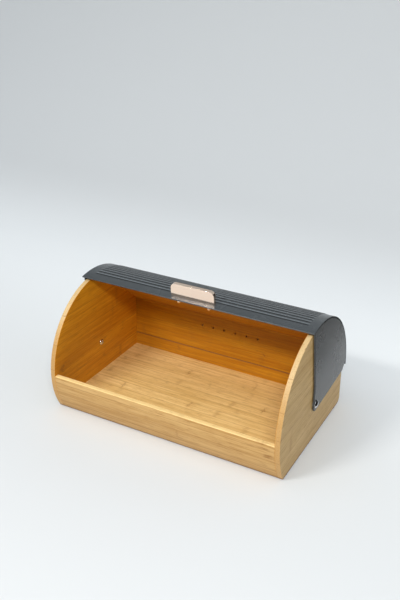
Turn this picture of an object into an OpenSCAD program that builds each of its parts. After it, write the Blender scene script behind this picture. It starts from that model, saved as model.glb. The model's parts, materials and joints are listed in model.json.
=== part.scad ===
// Roll-top bread box: a bamboo body with a hinged sheet-steel lid.
// Millimetres. The feet stand on z = 0 and x = 0 is halfway between the side panels.
// y = 0 is halfway between the front of the panels and the back edge of the open lid.
// The lid is drawn wide open; it shuts by turning about +x.

/* [Wooden body] */
// overall width over the two side panels
body_w = 390; // [300:1:460]
// radius of the rounded side panels about the hinge
panel_r = 126; // [112:0.5:142]
// height of the hinge axis above the underside of the wood
hinge_h = 65.2; // [60:0.1:75]
// thickness of the side panels
panel_t = 8; // [7.5:0.5:12]
// rounding of the panels' lower back corner
panel_corner_r = 9; // [4:0.5:20]
// height of the front rail
rail_h = 63; // [50:0.5:64]
// thickness of the rail, the back boards and the top board
board_t = 8; // [7.5:0.5:10]
// bevel on the rail's top edges
rail_edge = 1; // [0.4:0.1:2]
// thickness of the floor board
floor_t = 8.2; // [7:0.1:12]
// space under the floor board
floor_lift = 3; // [0:0.5:10]
// how far the back boards are set in from the panels' back edge
back_inset = 7.5; // [3:0.5:30]
// height of the joint between the two back boards
back_joint_h = 34; // [20:0.5:50]
// chamfer along that joint
joint_chamfer = 0.8; // [0.2:0.1:2]
// number of air holes in the back
vent_count = 6; // [2:2:12]
// distance between air holes
vent_pitch = 21; // [12:0.5:28]
// diameter of an air hole
vent_d = 4; // [2:0.5:8]
// height of the air holes above the underside of the wood
vent_h = 82; // [60:0.5:92]

/* [Feet and dowels] */
// height of the rubber feet
foot_h = 1.5; // [1:0.1:4]
// diameter of the rubber feet
foot_d = 7.5; // [5:0.5:8]
// diameter of the wooden dowels
dowel_d = 5; // [3:0.5:6]
// length of the wooden dowels
dowel_l = 25; // [16:1:40]
// depth of a dowel in the side panel
dowel_in = 5.5; // [3:0.5:6.5]
// distance of a dowel from the edges of the back boards
dowel_edge = 12; // [8:0.5:15]

/* [Lid] */
// from a side panel's rounded edge out to the outside of the lid
lid_gap = 7; // [5:0.5:14]
// thickness of the curved sheet
sheet_t = 1; // [0.6:0.1:1.5]
// thickness of the lid's end cheeks
cheek_t = 1; // [0.8:0.1:1.5]
// gap between a side panel and a cheek
cheek_gap = 2.6; // [2:0.1:5]
// angle of the lid's back edge when open
lid_rear_a = 1.2; // [0:0.1:4]
// angle of the lid's front edge when open
lid_front_a = 102.3; // [100:0.1:106]
// thickness of the rolled front and back edges
hem_d = 2.2; // [1.8:0.1:3]
// angle of the first rib, behind the front edge
rib_first_a = 94.7; // [90:0.1:95.5]
// angle from rib to rib
rib_step_a = 3.55; // [3:0.05:8]
// angle where the ribs stop at the back
rib_last_a = 8; // [5:1:80]
// height of a rib above the sheet
rib_h = 0.7; // [0.3:0.1:1]
// radius of a rib's crown
rib_r = 6.5; // [4:0.1:7]
// plain margin between the ends of the ribs and the cheeks
rib_margin = 13; // [6:0.5:30]
// thickness left at the crown of a rib
rib_wall = 0.9; // [0.5:0.1:1.1]
// rounding of a cheek's narrow end
hub_r = 9.5; // [8:0.5:12]
// how far behind the hinge axis the centre of that rounding is
hub_back = 1.5; // [0:0.5:3]
// how far below the hinge axis it is
hub_drop = 3; // [0:0.5:4]
// height above the hinge axis at which a cheek's front edge starts to lean forward
cheek_neck_h = 30; // [15:1:60]
// distance in from the lid's rim at which a cheek's front corner is cut
cheek_front_cut = 3; // [2.5:0.1:5]
// distance in from the lid's rim at which its rear corner is cut
cheek_rear_cut = 14.5; // [8:0.5:25]
// angle by which the lid turns from open to shut
lid_travel_a = 80; // [60:1:86]
// how far the top board runs on under the back edge of the shut lid
lid_lap_a = 2.8; // [1:0.1:6]

/* [Handle] */
// width of the handle
handle_w = 74; // [60:1:120]
// how far the handle stands out from the lid
handle_h = 22; // [16:0.5:30]
// depth of the handle's cup
handle_d = 6.4; // [6:0.1:12]
// wall thickness of the handle
handle_wall = 1.3; // [1:0.1:2]
// thickness of the handle's foot over the lid
handle_foot_t = 2; // [1.5:0.1:4]
// rounding of the handle's outer corners
handle_r = 8; // [3:0.5:12]
// angle of the handle's front face about the hinge, lid open
handle_a = 99.4; // [98.5:0.1:100]
// forward lean of the handle, lid open
handle_lean = 8; // [6:1:16]
// distance between the handle's two studs
stud_pitch = 52; // [40:1:56]
// diameter of the studs
stud_d = 5; // [3:0.5:5]
// width across the flats of the cap nuts
cap_af = 8; // [8:0.5:8.5]
// height of the cap nuts
cap_h = 10.4; // [8:0.1:10.5]
// diameter of the washers under the cap nuts
washer_d = 9.6; // [9:0.1:10]
// thickness of those washers
washer_t = 1; // [0.6:0.1:1.2]

/* [Hinge bolts] */
// diameter of the domed heads
head_d = 13; // [12:0.1:18]
// height of the domed heads
head_h = 3.3; // [2:0.1:5]
// diameter of the bolt shanks
bolt_d = 5; // [4:0.5:6]
// radial running clearance of a cheek on its bolt
bolt_clear = 0.08; // [0.05:0.01:0.1]
// diameter of the nylon spacers
spacer_d = 11; // [9:0.5:14]
// diameter of the round nuts inside
nut_d = 10; // [8:0.5:12]
// height of the nuts inside
nut_h = 3.4; // [3:0.1:5]
// width and depth of the slot in their domed faces
slot_w = 1.6; // [1:0.1:2]
slot_h = 1.1; // [0.6:0.1:1.3]

/* [Hidden] */
$fn = 96;
side_play = 0.1;                     // side play between a cheek and what is next to it
washer_gap = 0.15;                   // room under a flat washer in the hollow of the sheet
edge_cross = 0.1;                    // how far a straight edge runs inside a round one that it meets
hem_r = hem_d / 2;
stud_clear = 0.1;                    // radial room of a stud in the sheet
foot_inset = 14;                     // feet in from the ends of a panel's underside

// --- frame: everything below is drawn about the hinge axis, then moved by place() ---
lid_r = panel_r + lid_gap;
lid_in_r = lid_r - sheet_t;
axis_y = (panel_r - lid_r * cos(lid_rear_a)) / 2;
axis_z = foot_h + hinge_h;
wood_z = -hinge_h;                   // underside of the wood
half_w = body_w / 2;
in_w = half_w - panel_t;             // inner face of a side panel
cheek_in = half_w + cheek_gap;       // inner face of a cheek
lid_half_w = cheek_in + cheek_t;

// front rail: its back is flat and leans along the chord of the panels' front edge,
// its face is rounded to lie flush with that edge
rail_foot_y = -sqrt(panel_r * panel_r - wood_z * wood_z);
rail_top_z = wood_z + rail_h;
rail_top_y = -sqrt(panel_r * panel_r - rail_top_z * rail_top_z);
rail_lean = atan((rail_foot_y - rail_top_y) / rail_h);
function rail_back_y(z) = rail_foot_y + board_t / cos(rail_lean) - (z - wood_z) * tan(rail_lean);

// back and top boards: two boards in the back, then one that leans forward over them
back_out = panel_r - back_inset;
back_in = back_out - board_t;
top_end_a = lid_rear_a + lid_travel_a + lid_lap_a;
joint_z = wood_z + back_joint_h;
eave_z = sqrt(panel_r * panel_r - back_out * back_out);
ridge = panel_r * [cos(top_end_a), sin(top_end_a)];
top_dir = (ridge - [back_out, eave_z]) / norm(ridge - [back_out, eave_z]);
top_in = [-top_dir[1], top_dir[0]];  // across the top board, towards the inside
mitre = (top_in + [-1, 0]) / (1 + top_in * [-1, 0]) * board_t;
eave_in = [back_out, eave_z] + mitre;
floor_z = wood_z + floor_lift;

// dowels
dowel_r = dowel_d / 2;
rail_dowel_z = [for (s = [0.3, 0.72]) wood_z + s * rail_h];
floor_dowel_y = [for (s = [0.12, 0.5, 0.88]) rail_back_y(floor_z) * (1 - s) + back_in * s];
low_back_dowel_z = [joint_z - dowel_edge];
high_back_dowel_z = [joint_z + dowel_edge, eave_z - dowel_edge];
top_dowel_s = [0.2, 0.55, 0.88];

// lid
rib_count = floor((rib_first_a - rib_last_a) / rib_step_a) + 1;
rib_half_w = lid_half_w - rib_margin;
front_corner = lid_r * [cos(lid_front_a), sin(lid_front_a)];
rear_corner = lid_r * [cos(lid_rear_a), sin(lid_rear_a)];
hub_c = [hub_back, -hub_drop];
front_cut = (lid_r - cheek_front_cut) * [cos(lid_front_a - 1.1), sin(lid_front_a - 1.1)];
rear_cut = (lid_r - cheek_rear_cut) * [cos(lid_rear_a - 3), sin(lid_rear_a - 3)];

// handle: foot on the lid, u leans out from it, v runs back across its depth
handle_foot = lid_r * [cos(handle_a), sin(handle_a)];
stud_a = handle_a - asin(handle_d / 2 / lid_r);  // studs stand in the middle of its depth
nut_seat_r = lid_in_r - washer_gap;
stud_l = 0.62 * cap_h;               // length of stud past that seat
head_seat_x = lid_half_w + side_play;
nut_bore = nut_h - slot_h - 0.6;     // depth of the threaded hole in a nut

// ---------- helpers ----------
// moves a shape drawn about the hinge axis to its place above the table
module place() translate([0, axis_y, axis_z]) children();

// stretches a (y, z) outline along x from x0 to x1
module along_x(x0, x1) translate([x0, 0, 0]) rotate([90, 0, 90]) linear_extrude(x1 - x0) children();

// a rod along x, centred on (y, z)
module rod_x(x0, x1, y, z, r, sides = $fn) translate([x0, y, z]) rotate([0, 90, 0])
    cylinder(r = r, h = x1 - x0, $fn = sides);

// the same shape on both ends
module both_ends() {
    children();
    mirror([1, 0, 0]) children();
}

// a wedge of the plane from angle a0 to a1
module wedge(a0, a1, r) polygon(concat([[0, 0]],
    [for (i = [0:6]) r * [cos(a0 + (a1 - a0) * i / 6), sin(a0 + (a1 - a0) * i / 6)]]));

// a round bar that stands on a radius of the lid at angle a, from radius r0 to r1
module radial(x, a, r0, r1, r, sides = $fn) translate([x, 0, 0]) rotate([a - 90, 0, 0])
    translate([0, 0, r0]) cylinder(r = r, h = r1 - r0, $fn = sides);

// ---------- wooden body ----------
module panel_outline() {
    r = panel_corner_r;
    intersection() {
        circle(r = panel_r, $fn = 360);
        translate([-2 * panel_r, wood_z]) square([4 * panel_r, 4 * panel_r]);
    }
    translate([0, wood_z]) square([panel_r - r, -wood_z]);
    translate([0, wood_z + r]) square([panel_r, -wood_z - r]);
    translate([panel_r - r, wood_z + r]) circle(r = r);
}

// the outline of the front rail's section: a round face, a level foot, a bevelled level top
module rail_outline() intersection() {
    e = rail_edge;
    circle(r = panel_r, $fn = 360);
    polygon([
        [-2 * panel_r, wood_z], [rail_back_y(wood_z), wood_z],
        [rail_back_y(rail_top_z - e), rail_top_z - e], [rail_back_y(rail_top_z) - e, rail_top_z],
        [rail_top_y + e, rail_top_z], [rail_top_y - e, rail_top_z - 2 * e],
        [-2 * panel_r, rail_top_z - 2 * e]]);
}

// the line of the rail's dowels: half a board's thickness in from its back
function rail_mid(z) = [rail_back_y(z) - board_t / cos(rail_lean) / 2, z];
function top_mid(s) = [back_out, eave_z] * (1 - s) + ridge * s + top_in * board_t / 2;
rail_dowels_at = [for (z = rail_dowel_z) rail_mid(z)];
floor_dowels_at = [for (y = floor_dowel_y) [y, floor_z + floor_t / 2]];
back_dowels_at = [for (z = concat(low_back_dowel_z, high_back_dowel_z)) [back_in + board_t / 2, z]];
top_dowels_at = [for (s = top_dowel_s) top_mid(s)];

// one dowel in each end of a board for every (y, z) point
module dowels(points) both_ends() for (p = points)
    rod_x(in_w + dowel_in - dowel_l, in_w + dowel_in, p[0], p[1], dowel_r, 48);

module side_panel() color("BurlyWood") difference() {
    along_x(in_w, half_w) panel_outline();
    dowels(concat(rail_dowels_at, floor_dowels_at, back_dowels_at, top_dowels_at));
    rod_x(0, half_w + 1, 0, 0, bolt_d / 2);
}

module left_side_panel() place() mirror([1, 0, 0]) side_panel();
module right_side_panel() place() side_panel();

module floor_board() place() color("Wheat") difference() {
    along_x(-in_w, in_w) polygon([
        [rail_back_y(floor_z), floor_z], [back_in, floor_z],
        [back_in, floor_z + floor_t], [rail_back_y(floor_z + floor_t), floor_z + floor_t]]);
    dowels(floor_dowels_at);
}

module front_rail() place() color("Wheat") difference() {
    along_x(-in_w, in_w) rail_outline();
    dowels(rail_dowels_at);
}

module lower_back_board() place() color("Peru") difference() {
    along_x(-in_w, in_w) polygon([
        [back_in, wood_z], [back_out, wood_z], [back_out, joint_z],
        [back_in + joint_chamfer, joint_z], [back_in, joint_z - joint_chamfer]]);
    dowels(back_dowels_at);
}

module upper_back_board() place() color("Peru") difference() {
    along_x(-in_w, in_w) polygon([
        [back_in + joint_chamfer, joint_z], [back_out, joint_z], [back_out, eave_z],
        eave_in, [back_in, joint_z + joint_chamfer]]);
    dowels(back_dowels_at);
    for (i = [0:vent_count - 1])
        translate([(i - (vent_count - 1) / 2) * vent_pitch, back_in - 1, wood_z + vent_h])
            rotate([-90, 0, 0]) cylinder(d = vent_d, h = board_t + 2, $fn = 32);
}

module rear_top_board() place() color("Peru") difference() {
    along_x(-in_w, in_w) polygon([
        [back_out, eave_z], ridge, ridge + top_in * board_t, eave_in]);
    dowels(top_dowels_at);
}

module front_rail_dowels() place() color("Tan") dowels(rail_dowels_at);
module floor_dowels() place() color("Tan") dowels(floor_dowels_at);
module back_board_dowels() place() color("Tan") dowels(back_dowels_at);
module top_board_dowels() place() color("Tan") dowels(top_dowels_at);

module rubber_feet() place() color("DimGray") both_ends()
    for (y = [rail_foot_y + foot_inset, panel_r - panel_corner_r - foot_inset])
        translate([half_w - panel_t / 2, y, wood_z - foot_h]) cylinder(d = foot_d, h = foot_h, $fn = 48);

// ---------- lid ----------
// the sheet in section, with its two rolled edges
module sheet_outline() {
    intersection() {
        difference() {
            circle(r = lid_r, $fn = 360);
            circle(r = lid_in_r, $fn = 360);
        }
        wedge(lid_rear_a, lid_front_a, 1.4 * lid_r);
    }
    for (a = [lid_rear_a, lid_front_a]) rotate(a) translate([lid_r - hem_r, 0]) circle(r = hem_r, $fn = 32);
}

// a row of circles of radius r where the ribs are pressed into the sheet, in section
module rib_row(r) for (i = [0:rib_count - 1]) rotate(rib_first_a - i * rib_step_a)
    translate([lid_r + rib_h - rib_r, 0]) circle(r = r, $fn = 32);

module lid_shell() place() color("SlateGray") difference() {
    union() {
        along_x(-lid_half_w, lid_half_w) sheet_outline();
        along_x(-rib_half_w, rib_half_w) difference() {
            rib_row(rib_r);
            circle(r = lid_r - sheet_t / 2, $fn = 360);
        }
    }
    along_x(rib_wall - rib_half_w, rib_half_w - rib_wall) rib_row(rib_r - rib_wall);
    for (x = [-stud_pitch / 2, stud_pitch / 2])
        radial(x, stud_a, lid_in_r - 5, lid_r + 5, stud_d / 2 + stud_clear, 32);
}

// the cheek's straight edges run a little inside the rounded narrow end, so that they cross it
module cheek_outline() {
    side = hub_r - edge_cross;
    intersection() {
        circle(r = lid_in_r, $fn = 360);
        polygon([1.4 * front_corner, front_corner, front_cut, [hub_c[0] - side, cheek_neck_h],
            hub_c - [side, 0], hub_c, hub_c - [0, side], rear_cut, rear_corner,
            1.4 * rear_corner, 1.4 * [lid_r, lid_r]]);
    }
    translate(hub_c) circle(r = hub_r);
}

module lid_cheek() color("SlateGray") difference() {
    along_x(cheek_in, lid_half_w) cheek_outline();
    for (a = [lid_rear_a, lid_front_a]) rotate([a, 0, 0])
        rod_x(cheek_in - 1, lid_half_w + 1, lid_r - hem_r, 0, hem_r, 32);
    rod_x(cheek_in - 1, lid_half_w + 1, 0, 0, bolt_d / 2 + bolt_clear);
}

module left_lid_cheek() place() mirror([1, 0, 0]) lid_cheek();
module right_lid_cheek() place() lid_cheek();

// ---------- handle ----------
// a plate with rounded upper corners: half width w, height h, its foot at height y0
module tab_outline(w, h, r, y0) {
    for (s = [-1, 1]) translate([s * (w - r), h - r]) circle(r = r, $fn = 48);
    translate([-w, y0]) square([2 * w, h - r - y0]);
    translate([r - w, y0]) square([2 * (w - r), h - y0]);
}

// a cup that is open at the back, its foot cut to the lid's curve, with two studs
module handle() place() color("LightSalmon") {
    w = handle_wall;
    difference() {
        translate([0, handle_foot[0], handle_foot[1]]) rotate([90 + handle_lean, 0, 0])
            mirror([0, 0, 1]) difference() {
                linear_extrude(handle_d) tab_outline(handle_w / 2, handle_h, handle_r, -3);
                translate([0, 0, w]) linear_extrude(handle_d)
                    tab_outline(handle_w / 2 - w, handle_h - w, handle_r - w, handle_foot_t);
            }
        rod_x(-handle_w, handle_w, 0, 0, lid_r, 360);
    }
    for (x = [-stud_pitch / 2, stud_pitch / 2])
        radial(x, stud_a, nut_seat_r - stud_l, lid_r + handle_foot_t / 2, stud_d / 2, 32);
}

module handle_washers() place() color("LightSalmon")
    for (x = [-stud_pitch / 2, stud_pitch / 2]) difference() {
        radial(x, stud_a, nut_seat_r - washer_t, nut_seat_r, washer_d / 2, 48);
        radial(x, stud_a, nut_seat_r - washer_t - 1, nut_seat_r + 1, stud_d / 2, 32);
    }

module handle_cap_nuts() place() color("LightSalmon")
    for (x = [-stud_pitch / 2, stud_pitch / 2]) {
        seat = nut_seat_r - washer_t;
        difference() {
            union() {
                radial(x, stud_a, seat - cap_h * 0.5, seat, cap_af / 2 / cos(30), 6);
                radial(x, stud_a, seat - cap_h + cap_af * 0.46, seat, cap_af * 0.46, 48);
                translate([x, 0, 0]) rotate([stud_a - 90, 0, 0])
                    translate([0, 0, seat - cap_h + cap_af * 0.46]) sphere(r = cap_af * 0.46, $fn = 48);
            }
            radial(x, stud_a, nut_seat_r - stud_l, seat + 1, stud_d / 2, 32);
        }
    }

// ---------- hinge ----------
// a domed head: a slice of a sphere whose rim is head_d across
module dome(d, h) {
    r = (d * d / 4 + h * h) / (2 * h);
    intersection() {
        translate([0, 0, h - r]) sphere(r = r, $fn = 120);
        cylinder(d = d, h = h + 1);
    }
}

module hinge_bolts() place() color("Silver") both_ends() {
    translate([head_seat_x, 0, 0]) rotate([0, 90, 0]) dome(head_d, head_h);
    rod_x(in_w - nut_bore, head_seat_x, 0, 0, bolt_d / 2);
}

module hinge_spacers() place() color("WhiteSmoke") both_ends() difference() {
    rod_x(half_w, cheek_in - side_play, 0, 0, spacer_d / 2);
    rod_x(half_w - 1, cheek_in, 0, 0, bolt_d / 2);
}

// low round nuts with a domed, slotted face
module hinge_nuts() place() color("Silver") both_ends() difference() {
    union() {
        rod_x(in_w - nut_h * 0.35, in_w, 0, 0, nut_d / 2);
        translate([in_w - nut_h * 0.35, 0, 0]) rotate([0, -90, 0]) dome(nut_d, nut_h * 0.65);
    }
    translate([in_w - nut_h - 1, -slot_w / 2, -nut_d]) cube([slot_h + 1, slot_w, 2 * nut_d]);
    rod_x(in_w - nut_bore, in_w + 1, 0, 0, bolt_d / 2);
}

left_side_panel();
right_side_panel();
floor_board();
front_rail();
lower_back_board();
upper_back_board();
rear_top_board();
front_rail_dowels();
floor_dowels();
back_board_dowels();
top_board_dowels();
rubber_feet();
lid_shell();
left_lid_cheek();
right_lid_cheek();
handle();
handle_washers();
handle_cap_nuts();
hinge_bolts();
hinge_spacers();
hinge_nuts();
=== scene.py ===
"""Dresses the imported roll-top bread box: bamboo boards, a ribbed steel lid, a copper cup pull
and its small hardware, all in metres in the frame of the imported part."""

import json
import math
from functools import cache

import bmesh
import bpy
from bpy.props import BoolProperty, FloatProperty, FloatVectorProperty, IntProperty, PointerProperty
from mathutils import Matrix, Vector


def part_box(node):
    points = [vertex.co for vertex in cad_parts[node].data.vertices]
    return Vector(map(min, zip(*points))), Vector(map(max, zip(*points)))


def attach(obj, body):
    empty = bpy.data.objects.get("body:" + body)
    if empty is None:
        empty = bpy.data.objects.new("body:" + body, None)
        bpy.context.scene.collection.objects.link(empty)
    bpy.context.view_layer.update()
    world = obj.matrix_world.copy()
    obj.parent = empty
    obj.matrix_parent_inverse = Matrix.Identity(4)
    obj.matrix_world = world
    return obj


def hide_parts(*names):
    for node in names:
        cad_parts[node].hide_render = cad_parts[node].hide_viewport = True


bl_info = {
    "name": "Roll-Top Bread Box",
    "version": (1, 0, 0),
    "blender": (4, 5, 0),
    "location": "View3D > Sidebar > Bread Box",
    "description": "Bamboo body, ribbed steel lid and hardware built around a packed frame",
    "category": "Object",
}

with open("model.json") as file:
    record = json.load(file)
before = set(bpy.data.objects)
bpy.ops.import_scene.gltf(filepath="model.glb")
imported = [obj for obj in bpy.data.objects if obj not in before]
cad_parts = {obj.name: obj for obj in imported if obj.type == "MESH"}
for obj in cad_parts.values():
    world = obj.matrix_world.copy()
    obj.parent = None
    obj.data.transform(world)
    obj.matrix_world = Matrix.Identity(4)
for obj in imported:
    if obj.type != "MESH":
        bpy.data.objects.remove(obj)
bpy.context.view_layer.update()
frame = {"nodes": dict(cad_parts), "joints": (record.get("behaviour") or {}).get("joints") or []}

MM = 0.001
BASE = "base"
LID = "lid"
HINGE = next(j for j in frame["joints"] if j["name"] == "lid_hinge")
AXIS = Vector(HINGE["pos_m"])  # a point on the hinge axis, at x = 0
BODY_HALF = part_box("right_side_panel")[1].x  # outer face of the right side panel
INNER_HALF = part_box("right_side_panel")[0].x  # inner face of the same panel
RIM_RADIUS = AXIS.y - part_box("right_side_panel")[0].y  # radius of the side panels' round edge
JOINT_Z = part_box("lower_back_board")[1].z  # seam between the two back boards
RAIL_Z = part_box("front_rail")[1].z  # top edge of the front rail
FOOT_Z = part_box("right_side_panel")[0].z  # foot of the side panels
LID_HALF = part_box("lid_shell")[1].x  # end of the lid's curved sheet
SHARP = math.radians(35)  # a sharper bend than this is an edge


# -------------------------------- settings
def length(name, description, default):
    return FloatProperty(name=name, description=description, default=default, min=0.0, unit="LENGTH")


def angle(name, description, degrees):
    return FloatProperty(
        name=name, description=description, default=math.radians(degrees), unit="ROTATION")


def colour(name, description, default):
    return FloatVectorProperty(
        name=name, description=description, default=default, size=3, min=0.0, max=1.0, subtype="COLOR")


def amount(name, description, default):
    return FloatProperty(name=name, description=description, default=default, min=0.0)


class BreadBoxWood(bpy.types.PropertyGroup):
    """Sizes and colours of the bamboo"""
    edge: length("Edge Rounding", "How far the boards' long edges are eased", 0.45 * MM)
    strip: length("Strip Width", "Width of the glued strips of the boards", 18 * MM)
    panel_strip: length("Panel Strip Width", "Width of the glued strips of the side panels", 39.5 * MM)
    node_gap: length("Node Spacing", "Distance between the nodes along one strip", 230 * MM)
    pale: colour("Pale Bamboo", "Pale fibres of the outer faces", (0.74, 0.47, 0.185))
    deep: colour("Deep Bamboo", "Darker fibres of the outer faces", (0.52, 0.275, 0.075))
    floor_pale: colour("Pale Floor", "Pale fibres of the floor board", (0.93, 0.67, 0.29))
    floor_deep: colour("Deep Floor", "Darker fibres of the floor board", (0.68, 0.44, 0.145))
    rim_pale: colour("Pale Rim", "Pale fibres on the side panels' rims", (0.71, 0.51, 0.26))
    rim_deep: colour("Deep Rim", "Darker fibres on those rims", (0.65, 0.45, 0.205))
    side_pale: colour("Pale Side", "Pale fibres of the side panels' outer faces", (0.63, 0.44, 0.20))
    side_deep: colour("Deep Side", "Darker fibres of those faces", (0.45, 0.28, 0.10))
    # The amber of the walls inside is partly the wood's own tone and partly painted shade and warm bounce
    # light.
    amber_pale: colour("Pale Amber", "Pale fibres of the lacquered walls inside", (0.62, 0.28, 0.014))
    amber_deep: colour("Deep Amber", "Darker fibres of the lacquered walls inside", (0.43, 0.15, 0.004))
    mark: colour("Node Marks", "Colour of the nodes", (0.27, 0.105, 0.017))


class BreadBoxLid(bpy.types.PropertyGroup):
    """Sizes and colours of the lid"""
    radius: length("Radius", "Outer radius of the sheet about the hinge", 133 * MM)
    sheet: length("Sheet", "Thickness of the sheet", 1.0 * MM)
    rear: angle("Rear Edge", "Angle of the back edge about the hinge, lid open", 1.2)
    front: angle("Front Edge", "Angle of the front edge about the hinge, lid open", 102.3)
    hem: length("Hem Radius", "Radius of the rolled front and back edges", 1.1 * MM)
    ribs: IntProperty(name="Ribs", description="Number of pressed ribs", default=25, min=1)
    first: angle("First Rib", "Angle of the rib nearest the front edge", 94.7)
    step: angle("Rib Spacing", "Angle from rib to rib", 3.55)
    rib_height: length("Rib Height", "Height of a rib above the sheet", 0.7 * MM)
    rib_width: length("Rib Width", "Width of a rib at its foot", 6.0 * MM)
    rib_margin: length("Rib Margin", "Plain sheet left at each end of the ribs", 13 * MM)
    run_out: length("Rib Run-Out", "Length over which a rib fades at its ends", 5 * MM)
    turn_in: length("Cheek Flange", "How far a cheek's edge is turned in", 2.0 * MM)
    roll: length("Cheek Rounding", "Width of the rounding at a cheek's edge", 1.4 * MM)
    coat: colour("Powder Coat", "Colour of the dark grey coating", (0.052, 0.060, 0.066))


class BreadBoxFittings(bpy.types.PropertyGroup):
    """Sizes and colours of the handle and the small hardware"""
    edge: length("Handle Edge", "Rounding of the handle's edges", 0.25 * MM)
    nut_edge: length("Nut Edge", "Rounding of the nuts' edges", 0.25 * MM)
    copper: colour("Copper", "Colour of the plated handle and its nuts", (1.0, 0.79, 0.64))
    chrome: colour("Chrome", "Colour of the hinge bolts and nuts", (0.78, 0.78, 0.80))
    nylon: colour("Nylon", "Colour of the spacers", (0.55, 0.55, 0.53))
    rubber: colour("Rubber", "Colour of the feet", (0.03, 0.03, 0.03))
    beech: colour("Dowel Wood", "Colour of the dowels", (0.62, 0.42, 0.22))


class BreadBoxStage(bpy.types.PropertyGroup):
    """Camera, light and floor"""
    azimuth: angle("Azimuth", "How far the camera stands to the right of the front", 28.44)
    elevation: angle("Elevation", "How far the camera looks down", 21.85)
    tilt: angle("Roll", "How far the camera leans to its left", 0.65)
    place: FloatVectorProperty(name="Place", description="Where the camera stands",
                               default=(0.5328, -1.0005, 0.73145), size=3, subtype="TRANSLATION")
    focal: FloatProperty(name="Lens", description="Focal length", default=48.88, unit="CAMERA")
    shift: FloatVectorProperty(name="Shift", description="Lens shift, sideways and up",
                               default=(0.0071, -0.0892), size=2)
    floor: colour("Floor", "Colour of the floor and backdrop", (0.86, 0.895, 0.915))
    near: amount("Near Floor", "Colour of the nearest floor, as a share of the rest", 0.84)
    fade: amount("Backdrop Fade", "How much darker the far floor and backdrop are", 0.24)
    key_left: amount("Left Key", "Power of the front lamp's left part, in watts", 17.0)
    key_middle: amount("Middle Key", "Power of its middle part, in watts", 0.5)
    key_right: amount("Right Key", "Power of its right part, in watts", 18.5)
    sky: amount("Sky", "Strength of the even light from all round", 0.02)
    fill: amount("Fill", "Power of the low lamp behind the right side, in watts", 0.4)
    sky_top: amount("Top Sky", "Extra light from above the front", 1.65)


GROUPS = {"bread_wood": BreadBoxWood, "bread_lid": BreadBoxLid,
          "bread_fittings": BreadBoxFittings, "bread_stage": BreadBoxStage}


# -------------------------------- node helpers
class Value:
    """A socket's value in a node tree. Each sum with it becomes a Math node."""

    def __init__(self, nodes, socket):
        self.nodes = nodes
        self.socket = socket

    def __add__(self, other):
        return self.nodes.math("ADD", self, other)

    def __sub__(self, other):
        return self.nodes.math("SUBTRACT", self, other)

    def __rsub__(self, other):
        return self.nodes.math("SUBTRACT", other, self)

    def __mul__(self, other):
        return self.nodes.math("MULTIPLY", self, other)

    def __truediv__(self, other):
        return self.nodes.math("DIVIDE", self, other)

    def __abs__(self):
        return self.nodes.math("ABSOLUTE", self)


class Nodes:
    """A small builder for a node tree."""

    def __init__(self, tree):
        self.tree = tree

    def put(self, socket, value):
        if isinstance(value, Value):
            self.tree.links.new(value.socket, socket)
        else:
            socket.default_value = value

    def fill(self, sockets, values):
        for key, value in values.items():
            self.put(sockets[key], value)

    def add(self, kind, inputs=None, **settings):
        node = self.tree.nodes.new(kind)
        for name, value in settings.items():
            setattr(node, name, value)
        self.fill(node.inputs, inputs or {})
        return node

    def outputs(self, node):
        """A node's outputs, by name."""
        return {socket.name: Value(self, socket) for socket in node.outputs}

    def make(self, kind, inputs=None, output=0, **settings):
        """One output of a new node."""
        return Value(self, self.add(kind, inputs, **settings).outputs[output])

    def math(self, operation, *values, clamp=False):
        return self.make("ShaderNodeMath", dict(enumerate(values)), operation=operation, use_clamp=clamp)

    def vector(self, operation, *values, output=0):
        return self.make("ShaderNodeVectorMath", dict(enumerate(values)), output, operation=operation)

    def combine(self, x, y, z):
        return self.make("ShaderNodeCombineXYZ", {"X": x, "Y": y, "Z": z})

    def separate(self, vector):
        return list(self.outputs(self.add("ShaderNodeSeparateXYZ", {"Vector": vector})).values())

    def remap(self, value, low, high, to_low=0.0, to_high=1.0, kind="SMOOTHSTEP"):
        return self.make("ShaderNodeMapRange", {
            "Value": value, "From Min": low, "From Max": high, "To Min": to_low, "To Max": to_high,
        }, interpolation_type=kind)

    def mix(self, share, a, b):
        return self.make("ShaderNodeMix", {0: share, 6: a, 7: b}, 2, data_type="RGBA")

    def noise(self, vector, scale=1.0, detail=2.0, roughness=0.5):
        return self.make("ShaderNodeTexNoise", {
            "Vector": vector, "Scale": scale, "Detail": detail, "Roughness": roughness})

    def place(self):
        """Where a point lies in its object."""
        return self.make("ShaderNodeTexCoord", output="Object")

    def group(self, tree, inputs):
        """The outputs, by name, of a group."""
        return self.outputs(self.add("ShaderNodeGroup", inputs, node_tree=tree))


def new_tree(name, kind, inputs, outputs):
    """A node group: its builder, its inputs and its outputs. A socket is given by the name of its
    kind, or an input by its default."""
    tree = bpy.data.node_groups.new(name, kind)
    for label, given in inputs.items():
        socket = given if isinstance(given, str) else {int: "Int", float: "Float"}[type(given)]
        item = tree.interface.new_socket(name=label, in_out="INPUT", socket_type="NodeSocket" + socket)
        if socket != given:
            item.default_value = given
    for label, socket in outputs.items():
        tree.interface.new_socket(name=label, in_out="OUTPUT", socket_type="NodeSocket" + socket)
    n = Nodes(tree)
    return n, n.outputs(n.add("NodeGroupInput")), n.add("NodeGroupOutput").inputs


def rgba(value, share=1.0):
    return (*(c * share for c in value), 1.0)


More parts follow.
